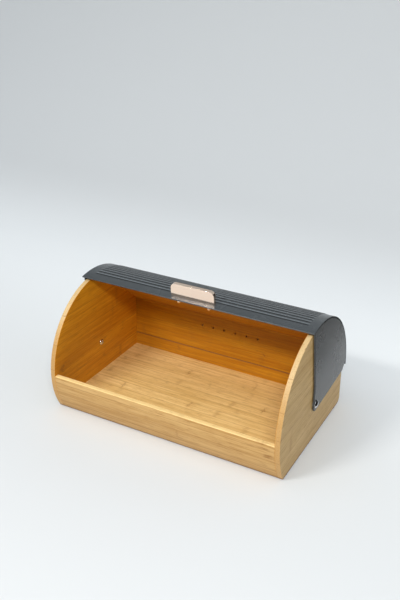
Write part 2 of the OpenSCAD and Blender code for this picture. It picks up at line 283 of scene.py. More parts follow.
# -------------------------------- shared shader groups
@cache
def bamboo_group():
    """Glued strips of bamboo. Grain runs along the vector's x, strips lie side by side along its y."""
    n, i, o = new_tree("Bamboo Strips", "ShaderNodeTree", {
        "Vector": "Vector", "Strip Width": 0.018, "Node Spacing": 0.23, "Seed": 0.0, "Marks and Shade": 0.0,
        "Pale": "Color", "Deep": "Color", "Mark": "Color",
    }, {"Color": "Color", "Roughness": "Float", "Height": "Float"})
    x, y, z = n.separate(i["Vector"])
    count = y / i["Strip Width"]
    strip = n.math("FLOOR", count)
    inside = n.math("FRACT", count)
    dice = n.outputs(n.add("ShaderNodeTexWhiteNoise", {"W": strip + i["Seed"]}, noise_dimensions="1D"))
    _, offset, chance = n.separate(dice["Color"])
    shifted = x + offset * 0.9

    def stretched(along, across, detail, roughness=0.5):
        return n.noise(n.combine(shifted * along, y * across, z * across), 1.0, detail, roughness)

    # broad soft bands, streaks, fine fibres and short dark bundles, all stretched along the grain
    bands = stretched(5.0, 90.0, 1.0)
    streaks = stretched(11.0, 330.0, 2.0)
    fibres = stretched(28.0, 1300.0, 3.0, 0.6)
    bundles = stretched(60.0, 700.0, 2.0)
    blotch = n.noise(n.combine(x * 26.0, y * 30.0, z))

    # nodes: a wavy band across each strip
    wave = n.noise(n.combine(strip * 3.7, y * 200.0, x * 60.0))
    turn = n.math("FRACT", (shifted + wave * 0.012) / i["Node Spacing"] + i["Seed"])
    off = abs(turn - 0.5) * i["Node Spacing"]
    band = n.remap(off, 0.0, 0.007, 1.0, 0.0) * n.remap(blotch, 0.35, 0.6)
    knot = band * n.remap(chance, 0.2, 0.9, 0.04, 0.30)

    # glue lines between strips
    edge = n.math("MINIMUM", inside, 1.0 - inside) * i["Strip Width"]
    glue = n.remap(edge, 0.0, 0.0008, 0.45, 0.0)

    shade = n.remap(streaks * 0.45 + fibres * 0.25 + bands * 0.30, 0.40, 0.60, kind="LINEAR")
    shade = n.math("ADD", shade * 0.75, dice["Value"] * 0.25, clamp=True)
    wood = n.mix(shade, i["Deep"], i["Pale"])
    wood = n.mix(n.remap(bundles, 0.54, 0.74) * 0.45, wood, i["Mark"])
    wood = n.mix(n.remap(blotch, 0.45, 0.7) * 0.20, wood, i["Deep"])
    wood = n.mix(glue, wood, i["Mark"])
    wood = n.mix(n.math("MAXIMUM", knot, i["Marks and Shade"]), wood, i["Mark"])
    n.fill(o, {"Color": wood, "Roughness": n.remap(fibres, 0.3, 0.7, 0.52, 0.42),
               "Height": fibres * 0.6 + band * -0.2 - glue * 1.6})
    return n.tree


@cache
def knot_group():
    """One node mark or dark streak at a chosen place, with ragged edges."""
    n, i, o = new_tree("Bamboo Knot", "ShaderNodeTree", {
        "Vector": "Vector", "Along": 0.0, "Across": 0.0, "Length": 0.003, "Spread": 0.009,
        "Strength": 0.6,
    }, {"Mask": "Float"})
    x, y, _ = n.separate(i["Vector"])
    ripple = n.noise(n.combine(x * 60.0, y * 210.0, 0.0))
    flecks = n.noise(n.combine(x * 240.0, y * 900.0, 0.0))
    dx = abs(x + (ripple - 0.5) * 0.014 - i["Along"]) / i["Length"]
    dy = abs(y - i["Across"]) / i["Spread"]
    mask = n.remap(dx, 0.1, 1.1, 0.75, 0.0) + n.remap(dx, 0.5, 4.0, 0.25, 0.0)  # core and halo
    mask = mask * n.remap(dy, 0.35, 1.1, 1.0, 0.0) * n.remap(flecks, 0.36, 0.62, 0.35, 1.0)
    n.fill(o, {"Mask": n.math("MULTIPLY", mask, i["Strength"], clamp=True)})
    return n.tree


@cache
def skin_group():
    """The fine orange-peel of a coated or moulded surface, with faint patches in its gloss."""
    n, i, o = new_tree("Fine Skin", "ShaderNodeTree", {
        "Vector": "Vector", "Pitch": 0.0006, "Gloss Change": 0.05, "Roughness": 0.4,
    }, {"Roughness": "Float", "Height": "Float", "Mask": "Float"})
    scaled = n.vector("DIVIDE", i["Vector"], n.combine(i["Pitch"], i["Pitch"], i["Pitch"]))
    patches = n.noise(i["Vector"], 28.0, 3.0)
    n.fill(o, {"Roughness": i["Roughness"] + (patches - 0.5) * i["Gloss Change"],
               "Height": n.noise(scaled), "Mask": patches})
    return n.tree


@cache
def brush_group():
    """Fine parallel scratches along the vector's x, for plated and drawn metal."""
    n, i, o = new_tree("Brushed Metal", "ShaderNodeTree", {
        "Vector": "Vector", "Roughness": 0.25, "Spread": 0.1,
    }, {"Roughness": "Float", "Height": "Float"})
    x, y, z = n.separate(i["Vector"])
    scratches = n.noise(n.combine(x * 60.0, y * 5200.0, z * 5200.0))
    n.fill(o, {"Roughness": i["Roughness"] + (scratches - 0.5) * i["Spread"], "Height": scratches})
    return n.tree


# -------------------------------- materials
def new_material(name):
    """An empty node material: the material, its builder and its Principled shader."""
    material = bpy.data.materials.new(name)
    material.use_nodes = True
    return material, Nodes(material.node_tree), material.node_tree.nodes["Principled BSDF"]


def finish(n, shader, tint, skin, distance, strength):
    """Gives the shader its colour, and the roughness and relief of a group's outputs."""
    bump = n.make("ShaderNodeBump", {
        "Height": skin["Height"], "Distance": distance, "Strength": strength})
    n.fill(shader.inputs, {"Base Color": tint, "Roughness": skin["Roughness"], "Normal": bump})


def bamboo(name, turn, seed, pale, deep, knots=(), within=None, panel=False, rail=False):
    """Lacquered bamboo whose grain runs along x after the turn. Each knot is (along, across,
    length, spread, strength), in millimetres. The back boards are given within, the normal and
    distance of their outer face: all else on them takes the amber of the walls inside, partly the
    wood's own tone and partly painted shade and warm bounce light, and a dark joint line runs where
    the lower two meet. A side panel has that amber on its inner face, a duller outer face, and a
    paler rim that darkens the further it lies ahead of or behind the hinge axis, where it cuts across
    the grain. It has a painted shadow, a dark line along its foot, as the rail has, and the rail
    has a painted highlight, a paler top edge."""
    wood = bpy.context.scene.bread_wood
    material, n, shader = new_material(name)
    place = n.place()
    turned = n.make("ShaderNodeMapping", {"Vector": place, "Rotation": turn})
    x, y, z = n.separate(place)
    pale, deep, marks_and_foot_shade = rgba(pale), rgba(deep), 0.0
    if panel:
        # Inner faces take the amber, partly the wood's own tone and partly painted shade and warm bounce
        # light; the outer faces are duller and the rim paler.
        past_wall = n.math("GREATER_THAN", abs(x), INNER_HALF + 0.5 * MM)
        past_rim = n.math("GREATER_THAN", abs(x), BODY_HALF - 0.25 * MM)
        # The rim darkens the further it lies ahead of or behind the hinge axis, where its edge cuts across
        # the grain.
        rim_darkening = n.remap(abs(y - AXIS.y) / RIM_RADIUS, 0.65, 1.0, 0.0, 0.75)
        darker = rgba([c * 0.75 + 0.06 for c in wood.amber_pale])
        tones = []
        for inner, rim, outer in ((wood.amber_pale, wood.rim_pale, wood.side_pale),
                                  (wood.amber_deep, wood.rim_deep, wood.side_deep)):
            tone = n.mix(past_wall, rgba(inner, 1.2), n.mix(rim_darkening, rgba(rim), darker))
            tones.append(n.mix(past_rim, tone, rgba(outer)))
        pale, deep = tones
    # On the back boards all but the outer face take the amber, partly the wood's own tone and partly
    # painted shade and warm bounce light; a dark line marks the boards' joint.
    if within:
        normal, reach = within
        depth = n.vector("DOT_PRODUCT", place, tuple(normal), output=1)
        inside = n.math("LESS_THAN", depth, reach - 0.3 * MM)
        pale = n.mix(inside, pale, rgba(wood.amber_pale))
        deep = n.mix(inside, deep, rgba(wood.amber_deep))
        marks_and_foot_shade = n.remap(abs(z - JOINT_Z), 0.8 * MM, 1.7 * MM, 0.85, 0.0)
    # Painted shadow: a dark line along the foot of the side panels and the rail.
    if panel or rail:
        marks_and_foot_shade = n.remap(z, FOOT_Z + 1.6 * MM, FOOT_Z + 2.8 * MM, 0.85, 0.0)
    # Painted highlight: the rail's top edge takes the paler floor colour.
    if rail:
        edge = n.remap(z, RAIL_Z - 0.9 * MM, RAIL_Z - 0.5 * MM)
        pale, deep = [n.mix(edge, tone, rgba(wood.floor_pale)) for tone in (pale, deep)]
    for along, across, long, spread, strength in knots:
        knot = n.group(knot_group(), {
            "Vector": turned, "Along": along * MM, "Across": across * MM, "Length": long * MM,
            "Spread": spread * MM, "Strength": strength})
        marks_and_foot_shade = n.math("MAXIMUM", knot["Mask"], marks_and_foot_shade)
    if panel:
        turned = n.vector("ADD", turned, (0.0, -JOINT_Z, 0.0))
    strips = n.group(bamboo_group(), {
        "Vector": turned, "Strip Width": wood.panel_strip if panel else wood.strip,
        "Node Spacing": wood.node_gap, "Seed": seed, "Marks and Shade": marks_and_foot_shade, "Pale": pale, "Deep": deep,
        "Mark": rgba(wood.mark)})
    shader.inputs["Specular IOR Level"].default_value = 0.3
    finish(n, shader, strips["Color"], strips, 0.00012, 0.5)
    return material


def rib_place(n, place, axis, radius, first, step, ribs, width, half, run_out):
    """Where a point of the lid lies: its turn about the axis; how far it is across its rib, 0 on the
    crest, 1 at the front foot and -1 at the rear foot; and 1 within the ribs' length, 0 past it."""
    x, y, z = n.separate(n.vector("SUBTRACT", place, axis))
    turn = n.math("ARCTAN2", z, y)
    number = n.math("ROUND", (first - turn) / step)
    number = n.math("MINIMUM", n.math("MAXIMUM", number, 0.0), ribs - 1.0)
    across = (turn - (first - number * step)) * radius / (width * 0.5)
    return turn, across, n.remap((half - abs(x)) / run_out, 0.0, 1.0)


def powder_coat(name, shaded_seam=None):
    """Satin dark grey powder coat. The cheeks' coat is a neutral grey, and beyond a radius about the
    hinge, near where a cheek meets the sheet, it is black and rougher: painted shade in that groove.
    The sheet's, with no such radius, has a painted highlight, paler, just behind each rib's crest and
    painted shade, darker, in front of it, which makes the low ribs plainer to see."""
    material, n, shader = new_material(name)
    place = n.place()
    skin = n.group(skin_group(), {
        "Vector": place, "Pitch": 0.0007, "Gloss Change": 0.03, "Roughness": 0.27})
    base = bpy.context.scene.bread_lid.coat
    if shaded_seam:
        base = [sum(base) / 2.7] * 3
    tint = n.mix(n.remap(skin["Mask"], 0.35, 0.65), rgba(base), rgba(base, 1.06))
    # Painted shade: beyond this radius the cheek's coat is black and rougher, in the groove where it meets
    # the sheet.
    if shaded_seam:
        arm = n.vector("MULTIPLY", n.vector("SUBTRACT", place, tuple(AXIS)), (0.0, 1.0, 1.0))
        past = n.remap(n.vector("LENGTH", arm, output=1), shaded_seam, shaded_seam + 0.5 * MM)
        tint = n.mix(past, tint, (0.004, 0.004, 0.004, 1.0))
        skin["Roughness"] = skin["Roughness"] + past * 0.4
    else:
        lid = bpy.context.scene.bread_lid
        _, away, along = rib_place(
            n, place, tuple(AXIS), lid.radius, lid.first, lid.step, lid.ribs, lid.rib_width,
            LID_HALF - lid.rib_margin, lid.run_out)
        # Painted highlight, paler, just behind each rib's crest, and painted shade, darker, in front of
        # it.
        for middle, reach, share in ((-0.35, 0.55, 3.5), (0.6, 0.5, 0.25)):
            painted_rib_light = n.remap(abs(away - middle), 0.1, reach, 1.0, 0.0) * along
            tint = n.mix(painted_rib_light, tint, rgba(base, share))
    finish(n, shader, tint, skin, 0.00001, 0.2)
    return material


def metal(name, tint, roughness):
    """Plated metal with fine drawn lines along x."""
    material, n, shader = new_material(name)
    brush = n.group(brush_group(), {"Vector": n.place(), "Roughness": roughness, "Spread": 0.05})
    shader.inputs["Metallic"].default_value = 1.0
    finish(n, shader, rgba(tint), brush, 0.000004, 0.4)
    return material


def moulded(name, tint, roughness, pitch):
    """A moulded plastic or rubber."""
    material, n, shader = new_material(name)
    skin = n.group(skin_group(), {
        "Vector": n.place(), "Pitch": pitch, "Gloss Change": 0.1, "Roughness": roughness})
    finish(n, shader, n.mix(skin["Mask"], rgba(tint, 0.85), rgba(tint)), skin, 0.00003, 0.5)
    return material


# -------------------------------- mesh helpers
def add_object(name, mesh):
    """A new object in the scene, at the origin, with every face smooth."""
    mesh.polygons.foreach_set("use_smooth", [True] * len(mesh.polygons))
    made = bpy.data.objects.new(name, mesh)
    bpy.context.scene.collection.objects.link(made)
    return made


def settle(piece, body, slot, *nodes):
    """The piece rides on a body and stands for the named nodes of the frame."""
    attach(piece, body)
    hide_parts(*nodes)
    return piece


def made_mesh(bm, name):
    """The built mesh, its builder freed."""
    mesh = bpy.data.meshes.new(name)
    bm.to_mesh(mesh)
    bm.free()
    return mesh


def eased_copy(node, name, material, width, wanted, segments=3):
    """The frame node's shape as one skin, in a material: its flat faces joined up and kept flat,
    and the sharp edges that wanted(edge) picks rounded."""
    bm = bmesh.new()
    bm.from_mesh(frame["nodes"][node].data)
    bmesh.ops.remove_doubles(bm, verts=bm.verts, dist=1e-6)
    bmesh.ops.dissolve_limit(bm, angle_limit=math.radians(0.4), verts=bm.verts, edges=bm.edges)
    bm.normal_update()
    weights = bm.edges.layers.float.new("bevel_weight_edge")
    for edge in bm.edges:
        sharp = len(edge.link_faces) == 2 and edge.calc_face_angle() > SHARP
        edge.smooth = not sharp
        edge[weights] = 1.0 if sharp and wanted(edge) else 0.0
    piece = add_object(name, made_mesh(bm, name))
    piece.data.materials.append(material)
    bevel = piece.modifiers.new("Eased Edges", "BEVEL")
    bevel.width = width
    bevel.segments = segments
    bevel.limit_method = "WEIGHT"
    bevel.harden_normals = True
    bevel.use_clamp_overlap = False
    return piece


def along_x(edge):
    """True for a long edge that runs the length of a board."""
    run = edge.verts[1].co - edge.verts[0].co
    return abs(run.x) > 0.99 * run.length and run.length > 50 * MM


def outline(edge):
    """True for an edge of a flat blank's outline, but not of its holes."""
    run = edge.verts[1].co - edge.verts[0].co
    return abs(run.x) < 1e-6 and run.length > 1.1 * MM


def around(ring):
    """Each item of a ring with the next one."""
    return zip(ring, ring[1:] + ring[:1])


def bridge(bm, a, b):
    """Joins two rings of points with faces. A ring may also be a single point."""
    steps = max(len(a), len(b))
    for k in range(steps):
        m = (k + 1) % steps
        corners = [a[k % len(a)], a[m % len(a)], b[m % len(b)], b[k % len(b)]]
        bm.faces.new(list(dict.fromkeys(corners)))


def finished(bm, name):
    """The built mesh with its normals outward and its sharp edges marked."""
    bmesh.ops.recalc_face_normals(bm, faces=bm.faces)
    for edge in bm.edges:
        edge.smooth = edge.calc_face_angle(0.0) < SHARP
    return made_mesh(bm, name)


def lathe(name, profile, steps=48):
    """A closed solid turned about the x axis from (x, radius) points: either both ends are on
    the axis, or the last point joins up with the first."""
    bm = bmesh.new()
    turns = [2 * math.pi * k / steps for k in range(steps)]
    rings = [[bm.verts.new((x, r * math.cos(t), r * math.sin(t))) for t in (turns if r else [0])]
             for x, r in profile]
    if profile[0][1]:
        rings.append(rings[0])
    for a, b in zip(rings, rings[1:]):
        bridge(bm, a, b)
    return finished(bm, name)


def arc(x, r, radius, start, end, steps):
    """(x, radius) points round a quarter or part of a circle about (x, r), angles from +x."""
    angles = (start + (end - start) * k / steps for k in range(steps + 1))
    return [(x + radius * math.cos(a), r + radius * math.sin(a)) for a in angles]


# -------------------------------- geometry node trees
def dressed(n, geometry, material):
    """The geometry with its instances made real, in the material."""
    real = n.make("GeometryNodeRealizeInstances", {"Geometry": geometry})
    return n.make("GeometryNodeSetMaterial", {"Geometry": real, "Material": material})


@cache
def copies_tree():
    """Copies the incoming mesh along a row, each one turned a further step."""
    n, i, o = new_tree("Row of Copies", "GeometryNodeTree", {
        "Geometry": "Geometry", "Count": 2, "Start": "Vector", "Step": "Vector",
        "Turn Each": "Vector", "Material": "Material",
    }, {"Geometry": "Geometry"})
    row = n.make("GeometryNodeMeshLine", {
        "Count": i["Count"], "Start Location": i["Start"], "Offset": i["Step"]}, mode="OFFSET")
    index = n.make("GeometryNodeInputIndex")
    turn = n.vector("MULTIPLY", i["Turn Each"], n.combine(index, index, index))
    turn = n.make("FunctionNodeEulerToRotation", {"Euler": turn})
    placed = n.make("GeometryNodeInstanceOnPoints", {
        "Points": row, "Rotation": turn, "Instance": i["Geometry"]})
    n.put(o["Geometry"], dressed(n, placed, i["Material"]))
    return n.tree


def ribs_tree():
    """Presses ribs into a curved sheet, by moving out the points that a rib passes under, and rolls
    a round bar into its front and rear edges."""
    n, i, o = new_tree("Pressed Ribs", "GeometryNodeTree", {
        "Geometry": "Geometry", "Axis": "Vector", "Radius": 0.133, "Ribs": 25, "First Rib": 1.65,
        "Spacing": 0.062, "Height": 0.0007, "Width": 0.006, "Half Length": 0.1856,
        "Run-Out": 0.005, "Hem Radius": 0.0011, "Front": 1.785, "Rear": 0.021,
        "Half Width": 0.1986, "Material": "Material",
    }, {"Geometry": "Geometry"})
    turn, across, ends = rib_place(
        n, n.make("GeometryNodeInputPosition"), i["Axis"], i["Radius"], i["First Rib"], i["Spacing"],
        i["Ribs"], i["Width"], i["Half Length"], i["Run-Out"])
    crown = n.math("SUBTRACT", 1.0, across * across, clamp=True)
    lift = crown * ends * i["Height"]
    offset = n.combine(0.0, n.math("COSINE", turn) * lift, n.math("SINE", turn) * lift)
    parts = n.add("GeometryNodeJoinGeometry")
    n.put(parts.inputs[0], n.make("GeometryNodeSetPosition", {
        "Geometry": i["Geometry"], "Offset": offset}))
    bar = n.make("GeometryNodeCurvePrimitiveCircle", {"Resolution": 20, "Radius": i["Hem Radius"]})
    reach = i["Radius"] - i["Hem Radius"]
    half = n.combine(i["Half Width"], 0.0, 0.0)
    for end in ("Front", "Rear"):
        spot = n.combine(0.0, n.math("COSINE", i[end]) * reach, n.math("SINE", i[end]) * reach)
        centre = n.vector("ADD", i["Axis"], spot)
        line = n.make("GeometryNodeCurvePrimitiveLine", {
            "Start": n.vector("SUBTRACT", centre, half), "End": n.vector("ADD", centre, half)})
        n.put(parts.inputs[0], n.make("GeometryNodeCurveToMesh", {
            "Curve": line, "Profile Curve": bar, "Fill Caps": True}))
    smooth = n.make("GeometryNodeSetShadeSmooth", {"Geometry": n.outputs(parts)["Geometry"]})
    n.put(o["Geometry"], dressed(n, smooth, i["Material"]))
    return n.tree


def run_nodes(piece, tree, values):
    """Runs a geometry node tree on the piece with these named inputs and keeps the result."""
    modifier = piece.modifiers.new(tree.name, "NODES")
    modifier.node_group = tree
    sockets = {s.name: s.identifier for s in tree.interface.items_tree if s.in_out == "INPUT"}
    for name, value in values.items():
        modifier[sockets[name]] = value
    graph = bpy.context.evaluated_depsgraph_get()
    made = bpy.data.meshes.new_from_object(piece.evaluated_get(graph))
    piece.modifiers.clear()
    piece.data = made


def row_of(name, mesh, material, count=2, start=(0, 0, 0), step=(0, 0, 0), turn=(0, 0, 0)):
    """An object of count copies of the mesh."""
    piece = add_object(name, mesh)
    run_nodes(piece, copies_tree(), {
        "Count": count, "Start": tuple(start), "Step": tuple(step), "Turn Each": tuple(turn),
        "Material": material})
    return piece


# -------------------------------- wooden body
QUARTER = math.pi / 2
ALONG_Y = (-QUARTER, -QUARTER, 0.0)  # grain runs front to back, strips stacked up
UPRIGHT = (-QUARTER, 0.0, 0.0)  # grain runs sideways, strips stacked up
FLAT = (0.0, 0.0, 0.0)  # grain runs sideways, strips laid front to back
BOARDS = {  # node: (piece, seed, turn, knots)
    "left_side_panel": ("left_panel", 3.0, ALONG_Y, [
        (33, 116, 2.0, 24, 0.40), (24, 100, 1.5, 14, 0.20), (-110, 69, 7.0, 9, 0.75),
        (-60, 47, 20.0, 3, 0.35), (62, 70, 3.0, 12, 0.25)]),
    "right_side_panel": ("right_panel", 8.0, ALONG_Y, [
        (-20, 60, 2.5, 12, 0.12), (-70, 110, 3.0, 14, 0.10)]),
    "floor_board": ("floor_plank", 21.0, FLAT, [
        (-128, -26, 2.5, 11, 0.60), (-175, 50, 4.0, 7, 0.45), (-161, 68, 3.0, 8, 0.40),
        (-52, 63, 2.8, 10, 0.65), (-68, 16, 3.0, 5, 0.30), (-4, 44, 3.2, 7, 0.40),
        (66, 73, 2.6, 14, 0.40), (-3, -24, 2.6, 11, 0.65), (106, 18, 2.6, 12, 0.55),
        (20, 92, 18.0, 3, 0.35), (40, 40, 30.0, 2, 0.22), (-40, -48, 30.0, 2, 0.22)]),
    "front_rail": ("front_plank", 34.0, UPRIGHT, [
        (29, 29, 4.0, 9, 0.40), (172, 56, 11.0, 2.6, 0.75), (177, 44, 9.0, 4.5, 0.85),
        (166, 63, 9.0, 2.0, 0.60), (54, 61, 14.0, 1.6, 0.45), (100, 33, 30.0, 2.0, 0.28),
        (20, 45, 34.0, 2.2, 0.25), (-60, 30, 36.0, 2.0, 0.20), (130, 20, 28.0, 2.2, 0.25)]),
    "lower_back_board": ("lower_back_plank", 47.0, UPRIGHT, [
        (-99, 27, 4.5, 8, 0.60), (-104, 20, 2.0, 8, 0.45), (40, 20, 24.0, 2.0, 0.30)]),
    "upper_back_board": ("upper_back_plank", 58.0, UPRIGHT, [
        (65, 57, 2.6, 3.4, 0.95), (58, 62, 14.0, 1.8, 0.50), (75, 66, 12.0, 1.5, 0.40),
        (-70, 48, 24.0, 2.0, 0.25)]),
    "rear_top_board": ("top_plank", 66.0, UPRIGHT, []),
}


def outer_face(node):
    """The normal of the node's largest face that looks back or up, and its distance from the origin."""
    mesh = frame["nodes"][node].data
    areas = {}
    for face in mesh.polygons:
        normal = face.normal
        if abs(normal.x) < 0.1 and normal.y > 0.3:
            key = (round(normal.y, 3), round(normal.z, 3))
            reach = normal.dot(mesh.vertices[face.vertices[0]].co)
            area = areas[key][0] if key in areas else 0.0
            areas[key] = (area + face.area, normal.copy(), reach)
    return max(areas.values(), key=lambda found: found[0])[1:]


class BREADBOX_OT_boards(bpy.types.Operator):
    """Build the bamboo side panels, floor, rail, back boards and top board"""
    bl_idname = "breadbox.boards"
    bl_label = "Bamboo Boards"

    def execute(self, context):
        wood = context.scene.bread_wood
        tones = {"floor_plank": (wood.floor_pale, wood.floor_deep),
                 "front_plank": ([c * 0.92 for c in wood.pale], [c * 0.92 for c in wood.deep])}
        for node, (name, seed, turn, knots) in BOARDS.items():
            panel, rail = turn == ALONG_Y, name == "front_plank"
            pale, deep = tones.get(name, (wood.pale, wood.deep))
            within = outer_face(node) if turn == UPRIGHT and not rail else None
            skin = bamboo("Bamboo " + name, turn, seed, pale, deep, knots, within, panel, rail)
            piece = eased_copy(node, name, skin, wood.edge, outline if panel else along_x)
            settle(piece, BASE, "bamboo", node)
        return {"FINISHED"}


class BREADBOX_OT_dowels(bpy.types.Operator):
    """Give the dowels inside the joints their wood"""
    bl_idname = "breadbox.dowels"
    bl_label = "Dowels"

    def execute(self, context):
        beech = context.scene.bread_fittings.beech
        skin = bamboo("Dowel Beech", FLAT, 90.0, beech, [c * 0.85 for c in beech])
        for node in ("front_rail_dowels", "floor_dowels", "back_board_dowels", "top_board_dowels"):
            mesh = frame["nodes"][node].data
            mesh.materials.clear()
            mesh.materials.append(skin)
        return {"FINISHED"}


class BREADBOX_OT_feet(bpy.types.Operator):
    """Build the four rubber feet"""
    bl_idname = "breadbox.feet"
    bl_label = "Rubber Feet"

    def execute(self, context):
        low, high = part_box("rubber_feet")
        panel_mid = (BODY_HALF + INNER_HALF) / 2
        radius = high.x - panel_mid
        thick = high.z - low.z
        lip = 0.4 * MM
        pad = lathe("rubber_pads", [(0, 0), *arc(lip, radius - lip, lip, -math.pi, -1.5 * math.pi, 4),
                                    (thick, radius), (thick, 0)])
        pad.transform(Matrix.Rotation(-QUARTER, 4, "Y"))
        rubber = moulded("Foot Rubber", context.scene.bread_fittings.rubber, 0.75, 0.0008)
        front, back = low.y + radius, high.y - radius
        row = row_of("rubber_pad_row", pad, rubber, start=(-panel_mid, 0, 0), step=(2 * panel_mid, 0, 0))
        mesh = row.data
        bpy.data.objects.remove(row)
        piece = row_of("rubber_pads", mesh, rubber, start=(0, front, 0), step=(0, back - front, 0))
        settle(piece, BASE, "rubber", "rubber_feet")
        return {"FINISHED"}


# -------------------------------- lid
def sheet_blank(name, lid):
    """The plain curved sheet as a closed skin, fine enough along its arc to take the ribs."""
    half, rib_half = LID_HALF, LID_HALF - lid.rib_margin
    fade = [rib_half - lid.run_out * k / 6 for k in range(7)]
    ends = [half, half - 2 * MM, (half + rib_half) / 2, *fade, rib_half - 2 * lid.run_out]
    columns = sorted(ends + [-c for c in ends] + [half * k / 8 for k in range(-6, 7)])
    rows = 600
    turns = [lid.rear + (lid.front - lid.rear) * k / rows for k in range(rows + 1)]
    outside = [(lid.radius, a) for a in turns]
    inside = [(lid.radius - lid.sheet, a) for a in reversed(turns)]
    bm = bmesh.new()
    rings = [[bm.verts.new(AXIS + Vector((x, r * math.cos(a), r * math.sin(a))))
              for r, a in outside + inside] for x in columns]
    for a, b in zip(rings, rings[1:]):
        bridge(bm, a, b)
    for ring in (rings[0], rings[-1]):
        for k in range(rows):
            bm.faces.new([ring[k], ring[k + 1], ring[-k - 2], ring[-k - 1]])
    return finished(bm, name)


class BREADBOX_OT_lid_sheet(bpy.types.Operator):
    """Build the lid's curved sheet with its pressed ribs and rolled edges"""
    bl_idname = "breadbox.lid_sheet"
    bl_label = "Ribbed Lid Sheet"

    def execute(self, context):
        lid = context.scene.bread_lid
        piece = add_object("lid_sheet", sheet_blank("lid_sheet", lid))
        run_nodes(piece, ribs_tree(), {
            "Axis": tuple(AXIS), "Radius": lid.radius, "Ribs": lid.ribs, "First Rib": lid.first,
            "Spacing": lid.step, "Height": lid.rib_height, "Width": lid.rib_width,
            "Half Length": LID_HALF - lid.rib_margin, "Run-Out": lid.run_out,
            "Hem Radius": lid.hem, "Front": lid.front, "Rear": lid.rear, "Half Width": LID_HALF,
            "Material": powder_coat("Powder Coat")})
        settle(piece, LID, "grey_steel", "lid_shell")
        return {"FINISHED"}


def flat_loops(node, x):
    """The outlines, as lists of (y, z), of the node's flat face at this x: the outer one first."""
    bm = bmesh.new()
    bm.from_mesh(frame["nodes"][node].data)
    bmesh.ops.remove_doubles(bm, verts=bm.verts, dist=1e-6)
    flat = {f for f in bm.faces if all(abs(v.co.x - x) < 1e-6 for v in f.verts)}
    after = {}
    for face in flat:
        for loop in face.loops:
            if not set(loop.edge.link_faces) <= flat:
                after[loop.vert] = loop.link_loop_next.vert
    loops = []
    while after:
        spot = next(iter(after))
        loop = []
        while spot in after:
            loop.append((spot.co.y, spot.co.z))
            spot = after.pop(spot)
        loops.append(loop)
    bm.free()
    return sorted(loops, key=lambda loop: sum(math.dist(a, b) for a, b in around(loop)), reverse=True)


def thinned(loop, gap):
    """The outline without the points that follow closer than gap after the last one kept."""
    kept = [loop[0]]
    for spot in loop[1:]:
        if math.dist(spot, kept[-1]) > gap:
            kept.append(spot)
    return kept


def inward(loop):
    """For each point of an anticlockwise outline, the step that moves both its edges in by one."""
    steps = []
    for k, here in enumerate(loop):
        before, after = Vector(loop[k - 1]), Vector(loop[(k + 1) % len(loop)])
        a, b = (Vector(here) - before).normalized(), (after - Vector(here)).normalized()
        a, b = Vector((-a.y, a.x)), Vector((-b.y, b.x))
        steps.append((a + b) / max(1.0 + a.dot(b), 0.5))
    return steps


def cheek_mesh(name, lid):
    """The right-hand cheek: a flat plate whose rim is turned in, drawn from the frame's outline."""
    rim, *holes = flat_loops("right_lid_cheek", LID_HALF)
    reach = lid.radius - lid.hem
    for turn in (lid.front, lid.rear):
        hem = (AXIS.y + reach * math.cos(turn), AXIS.z + reach * math.sin(turn))
        rim = [spot for spot in rim if math.dist(spot, hem) > 1.4 * lid.hem]
    rim = thinned(rim, 0.6 * MM)
    area = sum(a[0] * b[1] - b[0] * a[1] for a, b in around(rim))
    if area < 0:
        rim.reverse()
    steps = inward(rim)
    bm = bmesh.new()

    def ring(offset, depth):
        made = []
        for (y, z), step in zip(rim, steps):
            on_arc = math.hypot(y - AXIS.y, z - AXIS.z) > lid.radius - lid.sheet - 0.2 * MM
            y, z = Vector((y, z)) + step * offset * lid.roll * (1.5 if on_arc else 0.8)
            made.append(bm.verts.new((LID_HALF - depth * lid.turn_in, y, z)))
        return made

    # each ring: how far in from the outline, as a share of the rounding, and how deep
    profile = [(1.9, 0.5), (0.75, 0.62), (0.60, 1.0), (0.03, 1.0), (0.04, 0.62), (0.16, 0.34),
               (0.42, 0.13), (0.8, 0.03), (1.25, 0.0), (1.5, 0.0)]
    rings = [ring(offset, depth) for offset, depth in profile]
    bores = [[[bm.verts.new((x, y, z)) for y, z in hole] for x in (LID_HALF - 0.5 * lid.turn_in, LID_HALF)]
             for hole in holes]
    for a, b in [*zip(rings, rings[1:]), *bores]:
        bridge(bm, a, b)
    for face in (0, -1):
        loops = [rings[face]] + [bore[face] for bore in bores]
        edges = [bm.edges.get(pair) for loop in loops for pair in around(loop)]
        bmesh.ops.triangle_fill(bm, use_beauty=True, edges=edges)
    return finished(bm, name)


class BREADBOX_OT_lid_cheeks(bpy.types.Operator):
    """Build the lid's two end plates, their rims turned in"""
    bl_idname = "breadbox.lid_cheeks"
    bl_label = "Lid Cheeks"

    def execute(self, context):
        lid = context.scene.bread_lid
        coat = powder_coat("Cheek Coat", lid.radius - 2.6 * MM)
        for node, name in (("left_lid_cheek", "left_cheek"), ("right_lid_cheek", "right_cheek")):
            mesh = cheek_mesh(name, lid)
            if node.startswith("left"):
                mesh.transform(Matrix.Scale(-1.0, 4, (1.0, 0.0, 0.0)))
                mesh.flip_normals()
            piece = add_object(name, mesh)
            piece.data.materials.append(coat)
            settle(piece, LID, "grey_steel", node)
        return {"FINISHED"}


